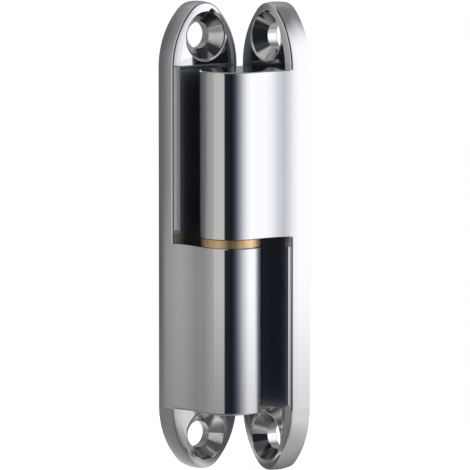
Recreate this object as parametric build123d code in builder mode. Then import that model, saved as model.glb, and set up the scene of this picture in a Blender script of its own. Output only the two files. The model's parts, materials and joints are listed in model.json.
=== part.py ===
"""Lift-off hinge: two die-cast leaves, a steel pin and a brass bearing washer.

Both leaves are the same casting. The frame leaf carries its lug on the lower half and holds
the pressed-in pin. The door leaf is turned over, carries its lug on the upper half and lifts
off the pin. The hinge is drawn with its leaves square to each other.

Origin: middle of the frame leaf's back face. +Y points out of that face, into the frame.
+Z runs up along the pin. All lengths are in millimetres and all angles in degrees.
"""

import os
from math import acos, degrees, hypot, radians, sin, sqrt, tan

from build123d import *

# Screws
screw_spacing = 100.0
screw_hole_diameter = 6.7
countersink_diameter = 12.0
countersink_angle = 78.0
hole_back_chamfer = 0.45

# Leaf plate, drawn around its two countersinks
side_land = 4.3
tip_land = 2.55
leaf_thickness = 6.4
flank_radius = 20.0
edge_crown = 0.3
face_roll_width = 3.2
face_roll_drop = 0.45
face_roll_steps = 3
front_edge_radius = 0.7
back_edge_chamfer = 0.2
mouth_edge_radius = 0.8
mouth_edge_steps = 3
front_round_share = 0.75
mouth_round_share = 0.8
rim_share = 0.7

# Lug, from its barrel to the flare that runs out into the leaf's outer edge
barrel_diameter = 15.5
pin_to_face = 11.6
pin_to_edge = 9.2
neck_radius = 16.0
cove_radius = 0.8
lug_edge_radius = 0.5
lug_seat_chamfer = 0.15

# Pin and washer
pin_diameter = 8.0
pin_end_chamfer = 1.0
pin_end_gap = 2.0
blind_wall = 8.0
drill_point_angle = 118.0
running_clearance = 0.05
washer_diameter = 14.7
washer_thickness = 2.2
washer_clearance = 0.08
washer_edge_chamfer = 0.15

# Leaf outline
mouth_radius = countersink_diameter / 2
hole_radius = screw_hole_diameter / 2
countersink_depth = (mouth_radius - hole_radius) / tan(radians(countersink_angle / 2))
leaf_width = countersink_diameter + 2 * side_land
leaf_length = screw_spacing + countersink_diameter + 2 * tip_land
half_width = leaf_width / 2
nose_radius = mouth_radius
flank_inset = flank_radius - half_width
flank_turn = degrees(acos(flank_inset / (flank_radius - nose_radius)))
flank_rise = (flank_radius - nose_radius) * sin(radians(flank_turn))
straight_half = leaf_length / 2 - nose_radius - flank_rise
rim_width = rim_share * nose_radius
fill_inset = (face_roll_width + rim_width) / 2
cut_span = 4 * leaf_width

# The wall between a countersink's mouth and the leaf's edge holds both of their roundings
flank_reach = flank_radius - hypot(flank_inset, screw_spacing / 2 - straight_half)
mouth_wall = flank_reach - edge_crown - mouth_radius
front_round = min(front_edge_radius, front_round_share * mouth_wall)
mouth_turn = 90 - countersink_angle / 2
mouth_spread = tan(radians(mouth_turn) / 2)
mouth_left = mouth_round_share * (mouth_wall - front_round) / mouth_spread
mouth_round = min(mouth_edge_radius, mouth_left)

# Lug, bores and pin
lug_start = washer_thickness / 2
lug_length = straight_half - lug_start
lug_low = -straight_half
bore_depth = lug_length - blind_wall
pin_x = pin_to_edge - half_width
pin_y = -(leaf_thickness + pin_to_face)
barrel_radius = barrel_diameter / 2
pin_radius = pin_diameter / 2

# Crowned edge, and the corner where the eased face meets it
crown_radius = ((leaf_thickness / 2) ** 2 + edge_crown**2) / (2 * edge_crown)
corner_rise = leaf_thickness / 2 - face_roll_drop
corner_inset = crown_radius - sqrt(crown_radius**2 - corner_rise**2)

# The lug's outer wall leaves the edge on the crown's own arc, then turns back and runs straight
flare_drop = pin_to_edge - barrel_radius
flare_turn = degrees(acos(1 - flare_drop / (crown_radius + neck_radius)))

# Ways to set a shape at its point
above = (Align.CENTER, Align.MIN)
below = (Align.CENTER, Align.MAX)
hanging = (Align.CENTER, Align.CENTER, Align.MAX)


def leaf_outline(inset):
    """Leaf outline in its own plane: straight sides, and ends of two flanks and a nose."""
    edge = half_width - inset
    with BuildSketch() as outline:
        with BuildLine():
            side = Line((-edge, 0), (-edge, straight_half))
            rise = JernArc(side @ 1, side % 1, flank_radius - inset, -flank_turn)
            tip = JernArc(rise @ 1, rise % 1, nose_radius - inset, 2 * flank_turn - 180)
            fall = JernArc(tip @ 1, tip % 1, flank_radius - inset, -flank_turn)
            Line(fall @ 1, (edge, 0))
            mirror(about=Plane.XZ)
        make_face()
    return outline.sketch


def rim_section():
    """Section of the plate's outer rim: a crowned edge, and a front face that eases off towards it."""
    crown_x = edge_crown - half_width
    inner_x = rim_width - half_width
    roll = []
    for step in range(face_roll_steps + 1):
        share = step / face_roll_steps
        roll_x = corner_inset + face_roll_width * (1 - share) - half_width
        roll.append((roll_x, face_roll_drop * share**2 - leaf_thickness))
    with BuildSketch() as rim:
        with BuildLine():
            ThreePointArc((crown_x, 0), (-half_width, -leaf_thickness / 2), roll[-1])
            Polyline(*reversed(roll), (inner_x, -leaf_thickness), (inner_x, 0), (crown_x, 0))
        make_face()
        fillet(rim.vertices().sort_by(Axis.X)[0], front_round)
        chamfer(rim.vertices().group_by(Axis.Y)[-1].sort_by(Axis.X)[0], back_edge_chamfer)
    return rim.sketch


def lug_section():
    """Section of the lug: a flare from the leaf's edge, a neck, two flat walls and the barrel."""
    edge_start = (-half_width, -leaf_thickness / 2)
    with BuildSketch() as section:
        with BuildLine():
            flare = JernArc(edge_start, (0, -1), crown_radius, flare_turn)
            neck = JernArc(flare @ 1, flare % 1, neck_radius, -flare_turn)
            wall = Line(neck @ 1, (pin_x - barrel_radius, pin_y))
            barrel = JernArc(wall @ 1, (0, -1), barrel_radius, 180)
            Polyline(barrel @ 1, (pin_x + barrel_radius, edge_start[1]), edge_start)
        make_face()
    return section.sketch


def lug_body():
    """The lug in front of the plate, with its end edges rounded."""
    with BuildPart() as lug:
        with BuildSketch(Plane.XY.offset(lug_low)):
            add(lug_section())
            with Locations((0, -leaf_thickness)):
                Rectangle(cut_span, cut_span, align=above, mode=Mode.SUBTRACT)
        extrude(amount=lug_length)
        ends = lug.faces().filter_by(Axis.Z).sort_by(Axis.Z)
        root = lug.faces().sort_by(Axis.Y)[-1].edges()
        fillet(ends[0].edges() - root, lug_edge_radius)
        chamfer(ends[-1].edges() - root, lug_seat_chamfer)
    return lug.part


def screw_hole():
    """What one screw hole takes away: an eased mouth, a countersink, the bore and a back chamfer."""
    lip = mouth_radius + mouth_round * mouth_spread
    with BuildPart() as hole:
        with BuildSketch(Plane.XY):
            with BuildLine():
                mouth_arc = JernArc(
                    (lip, -leaf_thickness), (-1, 0), mouth_round, -mouth_turn, mode=Mode.PRIVATE
                )
                Polyline(
                    *[mouth_arc @ (step / mouth_edge_steps) for step in range(mouth_edge_steps + 1)],
                    (hole_radius, countersink_depth - leaf_thickness),
                    (hole_radius, -hole_back_chamfer),
                    (hole_radius + hole_back_chamfer, 0),
                    (0, 0),
                    (0, -leaf_thickness),
                    (lip, -leaf_thickness),
                )
            make_face()
        revolve(axis=Axis.Y)
    return hole.part


def leaf_casting(bore_radius):
    """One leaf where the frame leaf stands, with a blind bore down into its lug."""
    with BuildPart() as leaf:
        # Rim swept round the outline, filled by a flat plate
        with BuildSketch(Plane.XZ.offset(leaf_thickness / 2), mode=Mode.PRIVATE) as edge_line:
            add(leaf_outline(0))
        with BuildSketch(Plane.XY):
            add(rim_section())
        sweep(path=edge_line.sketch.wire())
        with BuildSketch(Plane.XZ):
            add(leaf_outline(fill_inset))
        extrude(amount=leaf_thickness)

        # Beside the lug the rim gives way to the lug's flare
        with BuildSketch(Plane.XY.offset(lug_low)):
            with Locations((rim_width / 2 - half_width, 0)):
                Rectangle(rim_width, 2 * leaf_thickness, align=(Align.MAX, Align.CENTER))
        extrude(amount=lug_length, mode=Mode.SUBTRACT)
        with BuildSketch(Plane.XY.offset(lug_low)):
            add(rim_section())
            with Locations((0, -leaf_thickness / 2)):
                Rectangle(cut_span, cut_span, align=below, mode=Mode.SUBTRACT)
            add(lug_section())
            with Locations((0, -leaf_thickness)):
                Rectangle(cut_span, cut_span, align=below, mode=Mode.SUBTRACT)
        extrude(amount=lug_length)

        # Lug with a cove along its inner wall
        add(lug_body())
        with BuildSketch(Plane.XY.offset(lug_low + lug_edge_radius)):
            with Locations((pin_x + barrel_radius, -leaf_thickness)):
                Rectangle(cove_radius, cove_radius, align=(Align.MIN, Align.MAX))
            with Locations((pin_x + barrel_radius + cove_radius, -leaf_thickness - cove_radius)):
                Circle(cove_radius, mode=Mode.SUBTRACT)
        extrude(amount=lug_length - 2 * lug_edge_radius)

        # Countersunk screw holes with eased mouths
        with Locations((0, 0, -screw_spacing / 2), (0, 0, screw_spacing / 2)):
            add(screw_hole(), mode=Mode.SUBTRACT)

        # Blind bore with a drill point
        point_depth = bore_radius / tan(radians(drill_point_angle / 2))
        with Locations((pin_x, pin_y, -lug_start)):
            Cylinder(bore_radius, bore_depth, align=hanging, mode=Mode.SUBTRACT)
        with Locations((pin_x, pin_y, -lug_start - bore_depth)):
            Cone(0, bore_radius, point_depth, align=hanging, mode=Mode.SUBTRACT)
    return leaf.part


os.makedirs("parts", exist_ok=True)

with BuildPart() as frame_leaf:
    add(leaf_casting(pin_radius))
frame_leaf.part.label = "frame_leaf"
export_step(frame_leaf.part, "parts/frame_leaf.step")

# The door leaf is the same casting turned over about the line that halves the leaves' angle
with BuildPart() as door_leaf:
    add(leaf_casting(pin_radius + running_clearance).rotate(Axis((pin_x, pin_y, 0), (1, 1, 0)), 180))
door_leaf.part.label = "door_leaf"
export_step(door_leaf.part, "parts/door_leaf.step")

with BuildPart() as hinge_pin:
    with BuildSketch(Plane.XY.offset(-lug_start - bore_depth)):
        with Locations((pin_x, pin_y)):
            Circle(pin_radius)
    extrude(amount=2 * bore_depth + washer_thickness - pin_end_gap)
    chamfer(hinge_pin.faces().filter_by(Axis.Z).edges(), pin_end_chamfer)
hinge_pin.part.label = "hinge_pin"
export_step(hinge_pin.part, "parts/hinge_pin.step")

with BuildPart() as bearing_washer:
    with BuildSketch(Plane.XY.offset(-lug_start)):
        with Locations((pin_x, pin_y)):
            Circle(washer_diameter / 2)
            Circle(pin_radius + washer_clearance, mode=Mode.SUBTRACT)
    extrude(amount=washer_thickness)
    chamfer(bearing_washer.faces().filter_by(Axis.Z).edges(), washer_edge_chamfer)
bearing_washer.part.label = "bearing_washer"
export_step(bearing_washer.part, "parts/bearing_washer.step")
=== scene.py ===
"""Looks of the lift-off hinge: chrome leaves, a brass washer and a steel pin in a small light tent.

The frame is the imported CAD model, in metres: +Y out of the frame leaf's back, +Z up along the pin.
"""

import json
from math import cos, radians, sin

import bmesh
import bpy
from mathutils import Matrix, Vector


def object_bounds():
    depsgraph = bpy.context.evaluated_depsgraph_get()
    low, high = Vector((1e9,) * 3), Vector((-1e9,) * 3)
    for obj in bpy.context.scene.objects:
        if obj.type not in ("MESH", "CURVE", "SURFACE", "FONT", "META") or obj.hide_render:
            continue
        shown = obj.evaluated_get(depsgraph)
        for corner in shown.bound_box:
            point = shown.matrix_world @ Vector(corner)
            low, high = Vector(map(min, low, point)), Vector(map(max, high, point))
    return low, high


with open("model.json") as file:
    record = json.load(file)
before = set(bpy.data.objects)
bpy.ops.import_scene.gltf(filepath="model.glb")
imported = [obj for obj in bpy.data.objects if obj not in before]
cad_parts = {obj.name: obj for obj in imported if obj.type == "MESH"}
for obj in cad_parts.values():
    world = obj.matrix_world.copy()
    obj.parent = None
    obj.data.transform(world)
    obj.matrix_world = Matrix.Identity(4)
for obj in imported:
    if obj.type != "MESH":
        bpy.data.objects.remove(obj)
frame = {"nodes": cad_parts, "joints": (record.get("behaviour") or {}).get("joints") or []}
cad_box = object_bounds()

scene = bpy.context.scene
scene.view_settings.view_transform = "Standard"
nodes = frame["nodes"]
pin_line = Vector(frame["joints"][0]["pos_m"])

# Camera, as the photograph was taken
camera_azimuth = radians(-37.3)
camera_elevation = radians(6.9)
camera_distance = 1.5
camera_lens = 465.3
camera_reach = 10.0
aim_right = 0.00103
aim_up = 0.00155

# Light tent round the hinge. The edges are the heights over which the wall's low greys turn into the
# middle ones, those on the left into a darker panel, and all into the high ones.
tent_radius = 0.5
tent_low = -0.35
tent_high = 0.62
tent_segments = 96
low_edge = (-0.135, -0.068)
left_edge = (-0.070, -0.035)
high_edge = (0.18, 0.68)
base_grey = 0.60
chrome_shine = 0.62
white = (1, 1, 1, 1)

# Light plan of the tent wall, as the greys that polished chrome shows of it. Each row holds the angle
# from the camera, rightwards positive, then low, middle and high grey, then how cool the low grey is
# and how cool the others are.
wall_plan = (
    (-180, 0.50, 0.50, 0.70, 0.00, 0.00),
    (-150, 0.46, 0.40, 0.66, -0.06, 0.03),
    (-128, 0.43, 0.34, 0.62, -0.08, 0.06),
    (-116, 0.46, 0.36, 0.62, -0.08, 0.05),
    (-104, 0.51, 0.55, 0.64, -0.07, -0.01),
    (-94, 0.53, 0.58, 0.65, -0.07, -0.02),
    (-80, 0.56, 0.61, 0.66, -0.06, -0.04),
    (-67, 0.54, 0.64, 0.66, -0.06, -0.03),
    (-63, 0.54, 0.72, 0.66, -0.06, -0.02),
    (-26, 0.54, 0.73, 0.62, -0.06, -0.02),
    (-21, 0.12, 0.13, 0.22, 0.60, 0.50),
    (5, 0.10, 0.09, 0.22, 0.90, 0.80),
    (18, 0.18, 0.27, 0.28, 0.50, 0.30),
    (32, 0.36, 0.54, 0.40, 0.25, 0.15),
    (44, 0.55, 0.74, 0.50, 0.15, 0.11),
    (64, 0.76, 0.94, 0.56, 0.06, 0.05),
    (72, 0.785, 0.985, 0.47, 0.00, 0.03),
    (97, 0.785, 0.985, 0.46, 0.00, 0.04),
    (104, 0.76, 0.86, 0.46, 0.04, 0.08),
    (114, 0.66, 0.64, 0.46, 0.06, 0.10),
    (130, 0.50, 0.45, 0.46, 0.06, 0.10),
    (150, 0.48, 0.45, 0.55, 0.00, 0.05),
    (180, 0.50, 0.50, 0.70, 0.00, 0.00),
)

# Darker and cooler panel on the left: grey, and how cool it is, by the angle of the row it replaces
left_panel = {-128: (0.36, 0.06), -116: (0.38, 0.08), -104: (0.45, 0.08), -94: (0.56, 0.02)}

# Greys of the tent roof by the same angle
roof_plan = (
    (-180, 0.62), (-110, 0.68), (-60, 0.68), (-35, 0.20), (40, 0.14), (75, 0.47), (126, 0.45), (150, 0.55),
    (180, 0.62),
)

# Floor as mirrors see it, painted as light and shade: its greys by the same angle, near the hinge and
# away from it, then the distances over which the one turns into the other
floor_plan = (
    (-180, 0.50, 0.45), (-150, 0.78, 0.45), (-125, 0.52, 0.44), (-100, 0.42, 0.46), (-40, 0.36, 0.45),
    (0, 0.34, 0.40), (40, 0.56, 0.70), (75, 0.63, 0.82), (105, 0.58, 0.82), (128, 0.33, 0.70),
    (150, 0.33, 0.50), (180, 0.50, 0.45),
)
floor_fade = (0.01, 0.06)
floor_cool = -0.03
floor_radius = 0.10
floor_colour = (0.85, 0.85, 0.85, 1)
floor_lift = 0.82

# Chrome of the leaves. A noise is scale, detail and roughness, a gloss is the least and most roughness of
# the surface, and a relief is strength and depth.
plate_colour = (0.62, 0.62, 0.625, 1)
plate_gloss = (0.03, 0.07)
haze_noise = (140.0, 5.0, 0.6)
wave_noise = (90.0, 1.0, 0.5)
wave_relief = (0.02, 0.0004)
line_noise = ((1500.0, 1500.0, 40.0), 3.0, 0.5)
line_relief = (0.03, 0.00001)

# Turned countersinks: their place from the middle of the leaf, their mouth, and how far in from the
# leaf's back their finish starts
screw_place = 0.05
mouth_radius = 0.0060
mouth_fade = 0.0002
sunk_fade = (-0.0004, -0.0008)
sunk_gloss = (0.06, 0.12)
ring_scale = 9000.0
ring_detail = 3.0
ring_relief = (0.3, 0.00002)

# Satin inner faces, with painted shade: the front strip of the bare half, the inner wall of the lug, and
# the ledge between them, which the lugs hide and which take a darker, cooler colour as painted shade of
# the recess. The fades are places across the leaf, along it or out of its back.
# Colour of the painted shade on the inner faces
painted_shade_colour = (0.35, 0.38, 0.44, 1)
satin_gloss = (0.28, 0.42)
half_fade = 0.001
lug_end = 0.0418
lug_end_fade = 0.0006
strip_fade = (-0.0090, -0.0072)
wall_fade = (0.0050, 0.0062)
front_fade = (-0.0052, -0.0058)
ledge_along_fade = (0.0018, 0.0012)
ledge_out_fade = (-0.0072, -0.0066)
ledge_across_fade = (-0.0101, -0.0096)

# Streaks of the bare metals: detail of their noise, and the shares with the dark and the light tint
streak_detail = 4.0
streak_dark = 0.3
streak_light = 0.7


def radiance(grey):
    """Light that chrome mirrors as this display grey, by the sRGB curve."""
    linear = ((grey + 0.055) / 1.055) ** 2.4
    return linear / chrome_shine


def grey_colour(grey, cool=0.0):
    """Light for a display grey, with its blue raised by a share and its green by a third of that."""
    level = radiance(grey)
    return (level, level * (1 + cool / 3), level * (1 + cool), 1)


class NodeMaterial:
    """A material that is built node by node."""

    def __init__(self, name):
        self.material = bpy.data.materials.new(name)
        self.material.use_nodes = True
        self.tree = self.material.node_tree
        self.tree.nodes.clear()

    def add(self, kind, settings=None, values=(), **inputs):
        """New node with its settings, and with numbers or outputs for its inputs by order or by name."""
        node = self.tree.nodes.new("ShaderNode" + kind)
        for key, value in (settings or {}).items():
            setattr(node, key, value)
        sockets = dict(enumerate(values))
        sockets.update((key.replace("_", " "), value) for key, value in inputs.items())
        for key, value in sockets.items():
            if isinstance(value, bpy.types.NodeSocket):
                self.tree.links.new(value, node.inputs[key])
            else:
                node.inputs[key].default_value = value
        return node

    def place(self):
        """Place on the object, in metres."""
        return self.add("TexCoord").outputs["Object"]

    def maths(self, operation, *values):
        """Result of a calculation."""
        return self.add("Math", {"operation": operation}, values).outputs["Value"]

    def fade(self, value, start, stop):
        """Share that goes smoothly from 0 to 1 as a value goes from start to stop."""
        smooth = {"interpolation_type": "SMOOTHSTEP"}
        return self.add("MapRange", smooth, Value=value, From_Min=start, From_Max=stop).outputs["Result"]

    def spread(self, share, low, high):
        """Value from low to high, by a share."""
        return self.add("MapRange", Value=share, To_Min=low, To_Max=high).outputs["Result"]

    def mix(self, share, first, second):
        """Colour from the first to the second, by a share."""
        return self.add("MixRGB", Fac=share, Color1=first, Color2=second).outputs["Color"]

    def noise(self, place, scale, detail, roughness):
        """Noise over places, from 0 to 1."""
        node = self.add("TexNoise", Vector=place, Scale=scale, Detail=detail, Roughness=roughness)
        return node.outputs["Fac"]

    def stretched(self, place, stretch, detail, roughness):
        """Noise in streaks, with a scale for each axis."""
        scaled = self.add("Mapping", Vector=place, Scale=stretch).outputs["Vector"]
        return self.noise(scaled, 1.0, detail, roughness)

    def relief(self, height, strength, depth, **below):
        """Normal of a fine relief, on top of the normal below it."""
        return self.add("Bump", Height=height, Strength=strength, Distance=depth, **below).outputs["Normal"]

    def ramp(self, share, stops):
        """Colour by a share, from pairs of share and colour."""
        node = self.add("ValToRGB", Fac=share)
        elements = node.color_ramp.elements
        while len(elements) < len(stops):
            elements.new(1.0)
        for element, (position, colour) in zip(elements, stops):
            element.position = position
            element.color = colour
        return node.outputs["Color"]

    def around(self, place, stops):
        """Colour by the angle about the pin line, from pairs of degrees and colour."""
        turn = self.add("TexGradient", {"gradient_type": "RADIAL"}, Vector=place).outputs["Fac"]
        return self.ramp(turn, [(angle / 360 + 0.5, colour) for angle, colour in stops])

    def close_metal(self, colour, gloss, normal):
        """The finished material, as bare metal."""
        shader = self.add("BsdfPrincipled", Metallic=1.0, Base_Color=colour, Roughness=gloss, Normal=normal)
        self.add("OutputMaterial", Surface=shader.outputs["BSDF"])
        return self.material

    def close_light(self, colour):
        """The finished material, as light."""
        glow = self.add("Emission", Color=colour)
        self.add("OutputMaterial", Surface=glow.outputs["Emission"])
        return self.material


def leaf_chrome(name, turned):
    """Chrome of a leaf: a mirror with polishing haze, fine upright lines and a trace of waviness.

    The countersinks are turned, so they are duller and ringed. The inner faces that the lugs hide while
    the hinge is closed are satin, and painted shade makes their colour darker and cooler.
    """
    chrome = NodeMaterial(name)
    maths, fade = chrome.maths, chrome.fade
    place = chrome.place()
    axes = chrome.add("SeparateXYZ", Vector=place).outputs

    # The leaf's own axes: across it, out of its back, and along it towards its bare half
    if turned:
        across = maths("ADD", axes["Y"], pin_line.x - pin_line.y)
        out = maths("ADD", axes["X"], pin_line.y - pin_line.x)
        along = maths("MULTIPLY", axes["Z"], -1.0)
    else:
        across, out, along = axes["X"], axes["Y"], axes["Z"]
    from_middle = maths("ABSOLUTE", along)

    # Countersinks
    from_screw = maths("SUBTRACT", from_middle, screw_place)
    spoke = maths("SQRT", maths("ADD", maths("POWER", across, 2.0), maths("POWER", from_screw, 2.0)))
    sunk = maths("MULTIPLY", fade(spoke, mouth_radius + mouth_fade, mouth_radius), fade(out, *sunk_fade))
    rings = chrome.add("TexNoise", {"noise_dimensions": "1D"}, W=spoke, Scale=ring_scale, Detail=ring_detail)
    ring = rings.outputs["Fac"]

    # Inner faces that the lugs hide: satin roughness, and a darker, cooler colour as painted shade
    bare = maths("MULTIPLY", fade(along, 0.0, half_fade), fade(along, lug_end + lug_end_fade, lug_end))
    strip = maths("MULTIPLY", bare, fade(across, *strip_fade))
    lug_wall = maths("MULTIPLY", fade(along, 0.0, -half_fade), fade(across, *wall_fade))
    ledge = maths("MULTIPLY", fade(from_middle, *ledge_along_fade), fade(out, *ledge_out_fade))
    ledge = maths("MULTIPLY", ledge, fade(across, *ledge_across_fade))
    inner = maths("MAXIMUM", ledge, maths("MAXIMUM", strip, lug_wall))
    shade_and_satin = maths("MULTIPLY", fade(out, *front_fade), inner)

    haze = chrome.noise(place, *haze_noise)
    gloss = chrome.spread(haze, *plate_gloss)
    dull = chrome.spread(ring, *sunk_gloss)
    satin = chrome.spread(haze, *satin_gloss)
    for share, other in ((sunk, dull), (shade_and_satin, satin)):
        gloss = chrome.add("Mix", Factor=share, A=gloss, B=other).outputs["Result"]

    normal = chrome.relief(chrome.noise(place, *wave_noise), *wave_relief)
    normal = chrome.relief(chrome.stretched(place, *line_noise), *line_relief, Normal=normal)
    normal = chrome.relief(maths("MULTIPLY", ring, sunk), *ring_relief, Normal=normal)
    # Painted shade: the hidden inner faces take the darker, cooler colour
    return chrome.close_metal(chrome.mix(shade_and_satin, plate_colour, painted_shade_colour), gloss, normal)


def streaked_metal(name, stretch, roughness, dark, light, gloss, relief):
    """Bare metal with fine streaks, which run from a dark and glossy tint to a light and duller one."""
    metal = NodeMaterial(name)
    streak = metal.stretched(metal.place(), stretch, streak_detail, roughness)
    colour = metal.ramp(streak, ((streak_dark, dark), (streak_light, light)))
    return metal.close_metal(colour, metal.spread(streak, *gloss), metal.relief(streak, *relief))


# Brass washer with fine upright scratches on its rim
brass = streaked_metal(
    "washer_brass",
    stretch=(2600.0, 2600.0, 120.0),
    roughness=0.65,
    dark=(0.52, 0.30, 0.125, 1),
    light=(1.0, 0.76, 0.47, 1),
    gloss=(0.30, 0.48),
    relief=(0.25, 0.00005),
)

# Steel pin, ground round, with fine rings
steel = streaked_metal(
    "pin_steel",
    stretch=(150.0, 150.0, 5200.0),
    roughness=0.6,
    dark=(0.53, 0.53, 0.54, 1),
    light=(0.62, 0.62, 0.63, 1),
    gloss=(0.22, 0.3),
    relief=(0.05, 0.00001),
)

finishes = {
    "frame_leaf": leaf_chrome("chrome_frame_leaf", False),
    "door_leaf": leaf_chrome("chrome_door_leaf", True),
    "bearing_washer": brass,
    "hinge_pin": steel,
}
for name, material in finishes.items():
    nodes[name].data.materials.clear()
    nodes[name].data.materials.append(material)


def add_round(name, material, height, operator, **sizes):
    """New round object about the pin line, made by a bmesh operator and turned as the camera is."""
    mesh = bpy.data.meshes.new(name)
    shape = bmesh.new()
    operator(shape, segments=tent_segments, **sizes)
    shape.to_mesh(mesh)
    shape.free()
    mesh.materials.append(material)
    made = bpy.data.objects.new(name, mesh)
    made.location = (pin_line.x, pin_line.y, height)
    made.rotation_euler.z = camera_azimuth - radians(90)
    scene.collection.objects.link(made)
    return made


# Tent wall, which shows only in what the hinge mirrors
wall_light = NodeMaterial("tent_wall")
place = wall_light.place()
wall_height = wall_light.add("SeparateXYZ", Vector=place).outputs["Z"]
low, middle, high = (
    wall_light.around(place, [(row[0], grey_colour(row[tier], row[cool])) for row in wall_plan])
    for tier, cool in ((1, 4), (2, 5), (3, 5))
)
panel = wall_light.around(
    place, [(row[0], grey_colour(*left_panel.get(row[0], (row[2], row[5])))) for row in wall_plan]
)
light = low
for edge, tier in ((low_edge, middle), (left_edge, panel), (high_edge, high)):
    light = wall_light.mix(wall_light.fade(wall_height, *edge), light, tier)
wall = add_round(
    "tent_wall",
    wall_light.close_light(light),
    pin_line.z,
    bmesh.ops.create_cone,
    cap_ends=False,
    radius1=tent_radius,
    radius2=tent_radius,
    depth=tent_high - tent_low,
    matrix=Matrix.Translation((0, 0, (tent_high + tent_low) / 2)),
)
wall.visible_camera = False

# Tent roof and base
roof_light = NodeMaterial("tent_roof")
light = roof_light.around(roof_light.place(), [(angle, grey_colour(grey)) for angle, grey in roof_plan])
base_light = NodeMaterial("tent_base")
for name, material, height in (
    ("tent_roof", roof_light.close_light(light), tent_high),
    ("tent_base", base_light.close_light(grey_colour(base_grey)), tent_low),
):
    disc = add_round(name, material, height, bmesh.ops.create_circle, cap_ends=True, radius=tent_radius)
    disc.visible_camera = False

# Pale floor under the hinge: white with the hinge's shadow to the camera, and to mirrors a glow of painted
# light and shade, like the tent
pale = NodeMaterial("floor")
place = pale.place()
near, far = (
    pale.around(place, [(row[0], grey_colour(row[ring], floor_cool)) for row in floor_plan])
    for ring in (1, 2)
)
reach = pale.add("VectorMath", {"operation": "LENGTH"}, Vector=place).outputs["Value"]
glow = pale.add("Emission", Color=pale.mix(pale.fade(reach, *floor_fade), near, far))
rays = pale.add("LightPath").outputs
bright = pale.maths("MULTIPLY", rays["Is Camera Ray"], floor_lift)
lift = pale.add("Emission", Color=white, Strength=bright)
matt = pale.add("BsdfDiffuse", Color=floor_colour)
seen = pale.add("AddShader", values=(matt.outputs["BSDF"], lift.outputs["Emission"]))
mirrored = pale.maths("MAXIMUM", rays["Is Glossy Ray"], rays["Is Transmission Ray"])
both = pale.add("MixShader", values=(mirrored, seen.outputs["Shader"], glow.outputs["Emission"]))
pale.add("OutputMaterial", Surface=both.outputs["Shader"])
floor = add_round(
    "floor", pale.material, cad_box[0].z, bmesh.ops.create_circle, cap_ends=True, radius=floor_radius
)

# White background
world = bpy.data.worlds.new("studio")
scene.world = world
world.use_nodes = True
world.node_tree.nodes["Background"].inputs["Color"].default_value = white
world.node_tree.nodes["Background"].inputs["Strength"].default_value = 1.0

# Camera
back = Vector((
    sin(camera_azimuth) * cos(camera_elevation),
    -cos(camera_azimuth) * cos(camera_elevation),
    sin(camera_elevation),
))
right = Vector((cos(camera_azimuth), sin(camera_azimuth), 0))
up = back.cross(right)
target = pin_line + right * aim_right + up * aim_up
camera_data = bpy.data.cameras.new("camera")
camera_data.lens = camera_lens
camera_data.clip_end = camera_reach
camera = bpy.data.objects.new("camera", camera_data)
camera.location = target + back * camera_distance
camera.rotation_euler = (-back).to_track_quat("-Z", "Y").to_euler()
scene.collection.objects.link(camera)
scene.camera = camera
